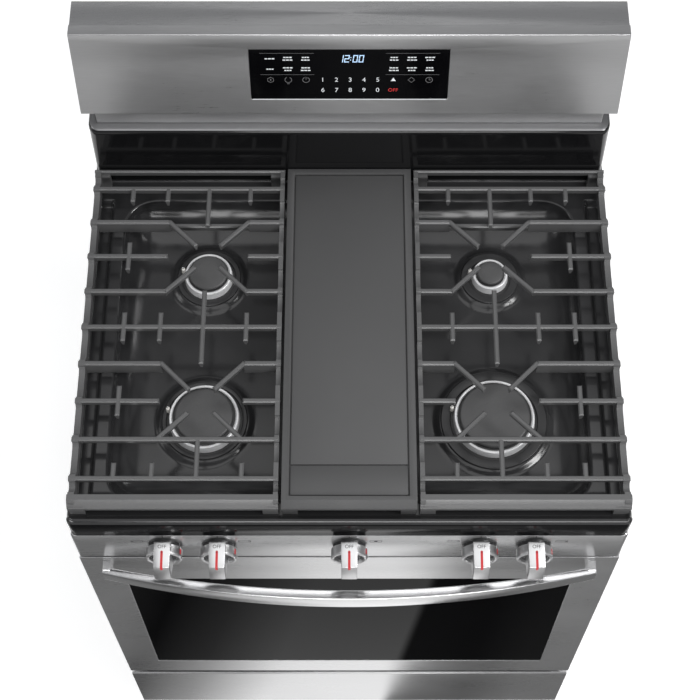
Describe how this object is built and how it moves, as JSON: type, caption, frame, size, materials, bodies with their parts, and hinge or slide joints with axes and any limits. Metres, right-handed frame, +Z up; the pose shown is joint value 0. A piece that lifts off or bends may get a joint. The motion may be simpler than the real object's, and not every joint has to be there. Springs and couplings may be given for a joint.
{
  "type": "freestanding gas range",
  "caption": "Freestanding gas range with sealed burners, cast grates around a flat griddle, front knobs, a drop-down oven door, a storage drawer and a back guard display.",
  "frame": {"origin": "on the floor under the middle of the range, centred left to right and front to back", "axes": "+Z up, -Y to the front where the cook stands, +X to the cook's right"},
  "size_m": [0.759, 0.7134, 1.222],
  "materials": {
    "stainless": "brushed horizontally, satin",
    "handle_steel": "finely brushed, bright satin",
    "black_enamel": "glossy porcelain enamel",
    "side_enamel": "satin black paint",
    "oven_enamel": "speckled dark porcelain enamel",
    "galvanised": "dull galvanised sheet",
    "cast_iron": "matte enamelled casting",
    "aluminium": "cast, satin",
    "rack_chrome": "bright wire",
    "knob_metal": "satin silver",
    "brass": "turned",
    "window_glass": "black tinted, glossy",
    "clear_glass": "clear, glossy",
    "screen_glass": null,
    "plastic": "matte moulded",
    "board": "lacquered circuit board",
    "gasket": "woven glass fibre"
  },
  "bodies": {
    "range_body": {"backguard_rear_cover": "stainless", "manifold_panel": "stainless", "backguard_shell": "stainless", "cooktop": "black_enamel", "rear_riser": "black_enamel", "front_frame": "black_enamel", "left_side_panel": "side_enamel", "right_side_panel": "side_enamel", "oven_liner": "oven_enamel", "fan_cover": "oven_enamel", "back_panel": "galvanised", "base_pan": "galvanised", "fan_motor": "galvanised", "door_hinge_left": "galvanised", "door_hinge_right": "galvanised", "burner_cap_rear_left": "cast_iron", "burner_cap_front_left": "cast_iron", "burner_cap_rear_right": "cast_iron", "burner_cap_front_right": "cast_iron", "burner_cap_centre": "cast_iron", "gas_valve_rail": "aluminium", "gas_supply_pipe": "aluminium", "bake_burner": "aluminium", "broil_burner": "aluminium", "burner_base_rear_left": "aluminium", "burner_base_front_left": "aluminium", "burner_base_rear_right": "aluminium", "burner_base_front_right": "aluminium", "burner_base_centre": "aluminium", "oven_rack_lower": "rack_chrome", "oven_rack_upper": "rack_chrome", "oven_lamp": "clear_glass", "display_glass": "screen_glass", "levelling_foot_front_left": "plastic", "levelling_foot_front_right": "plastic", "levelling_foot_rear_left": "plastic", "levelling_foot_rear_right": "plastic", "control_board": "board", "door_gasket": "gasket"},
    "door": {"door_skin": "stainless", "door_glass": "window_glass", "door_inner_panel": "oven_enamel", "door_inner_glass": "clear_glass", "door_handle": "handle_steel"},
    "drawer": {"drawer_front": "stainless", "drawer_box": "side_enamel"},
    "grate_left": {"grate_left": "cast_iron"},
    "grate_right": {"grate_right": "cast_iron"},
    "griddle": {"griddle": "cast_iron"},
    "fan": {"fan_blade": "galvanised"},
    "stem_1": {"valve_stem_1": "brass"},
    "knob_1": {"knob_1": "knob_metal"},
    "stem_2": {"valve_stem_2": "brass"},
    "knob_2": {"knob_2": "knob_metal"},
    "stem_3": {"valve_stem_3": "brass"},
    "knob_3": {"knob_3": "knob_metal"},
    "stem_4": {"valve_stem_4": "brass"},
    "knob_4": {"knob_4": "knob_metal"},
    "stem_5": {"valve_stem_5": "brass"},
    "knob_5": {"knob_5": "knob_metal"}
  },
  "joints": [
    {"name": "door_hinge", "type": "hinge", "parent": "range_body", "child": "door", "pos_m": [0, -0.2745, 0.2405], "axis": [1, 0, 0], "range_deg": [0, 90]},
    {"name": "drawer_slide", "type": "slide", "parent": "range_body", "child": "drawer", "axis": [0, -1, 0], "range_m": [0, 0.36]},
    {"name": "knob_1_turn", "type": "hinge", "parent": "range_body", "child": "stem_1", "pos_m": [-0.255, -0.2945, 0.855], "axis": [0, -1, 0], "range_deg": [0, 240]},
    {"name": "knob_1_push", "type": "slide", "parent": "stem_1", "child": "knob_1", "axis": [0, 1, 0], "range_m": [0, 0.003], "stiffness_N_per_m": 800, "springref_m": -0.004},
    {"name": "knob_2_turn", "type": "hinge", "parent": "range_body", "child": "stem_2", "pos_m": [-0.18, -0.2945, 0.855], "axis": [0, -1, 0], "range_deg": [0, 240]},
    {"name": "knob_2_push", "type": "slide", "parent": "stem_2", "child": "knob_2", "axis": [0, 1, 0], "range_m": [0, 0.003], "stiffness_N_per_m": 800, "springref_m": -0.004},
    {"name": "knob_3_turn", "type": "hinge", "parent": "range_body", "child": "stem_3", "pos_m": [0, -0.2945, 0.855], "axis": [0, -1, 0], "range_deg": [0, 240]},
    {"name": "knob_3_push", "type": "slide", "parent": "stem_3", "child": "knob_3", "axis": [0, 1, 0], "range_m": [0, 0.003], "stiffness_N_per_m": 800, "springref_m": -0.004},
    {"name": "knob_4_turn", "type": "hinge", "parent": "range_body", "child": "stem_4", "pos_m": [0.18, -0.2945, 0.855], "axis": [0, -1, 0], "range_deg": [0, 240]},
    {"name": "knob_4_push", "type": "slide", "parent": "stem_4", "child": "knob_4", "axis": [0, 1, 0], "range_m": [0, 0.003], "stiffness_N_per_m": 800, "springref_m": -0.004},
    {"name": "knob_5_turn", "type": "hinge", "parent": "range_body", "child": "stem_5", "pos_m": [0.255, -0.2945, 0.855], "axis": [0, -1, 0], "range_deg": [0, 240]},
    {"name": "knob_5_push", "type": "slide", "parent": "stem_5", "child": "knob_5", "axis": [0, 1, 0], "range_m": [0, 0.003], "stiffness_N_per_m": 800, "springref_m": -0.004},
    {"name": "grate_left_lift", "type": "slide", "parent": "range_body", "child": "grate_left", "axis": [0, 0, 1], "range_m": [0, 0.15]},
    {"name": "grate_right_lift", "type": "slide", "parent": "range_body", "child": "grate_right", "axis": [0, 0, 1], "range_m": [0, 0.15]},
    {"name": "griddle_lift", "type": "slide", "parent": "range_body", "child": "griddle", "axis": [0, 0, 1], "range_m": [0, 0.15]},
    {"name": "fan_spin", "type": "hinge", "parent": "range_body", "child": "fan", "pos_m": [0, 0.197, 0.52], "axis": [0, 1, 0], "continuous": true}
  ]
}
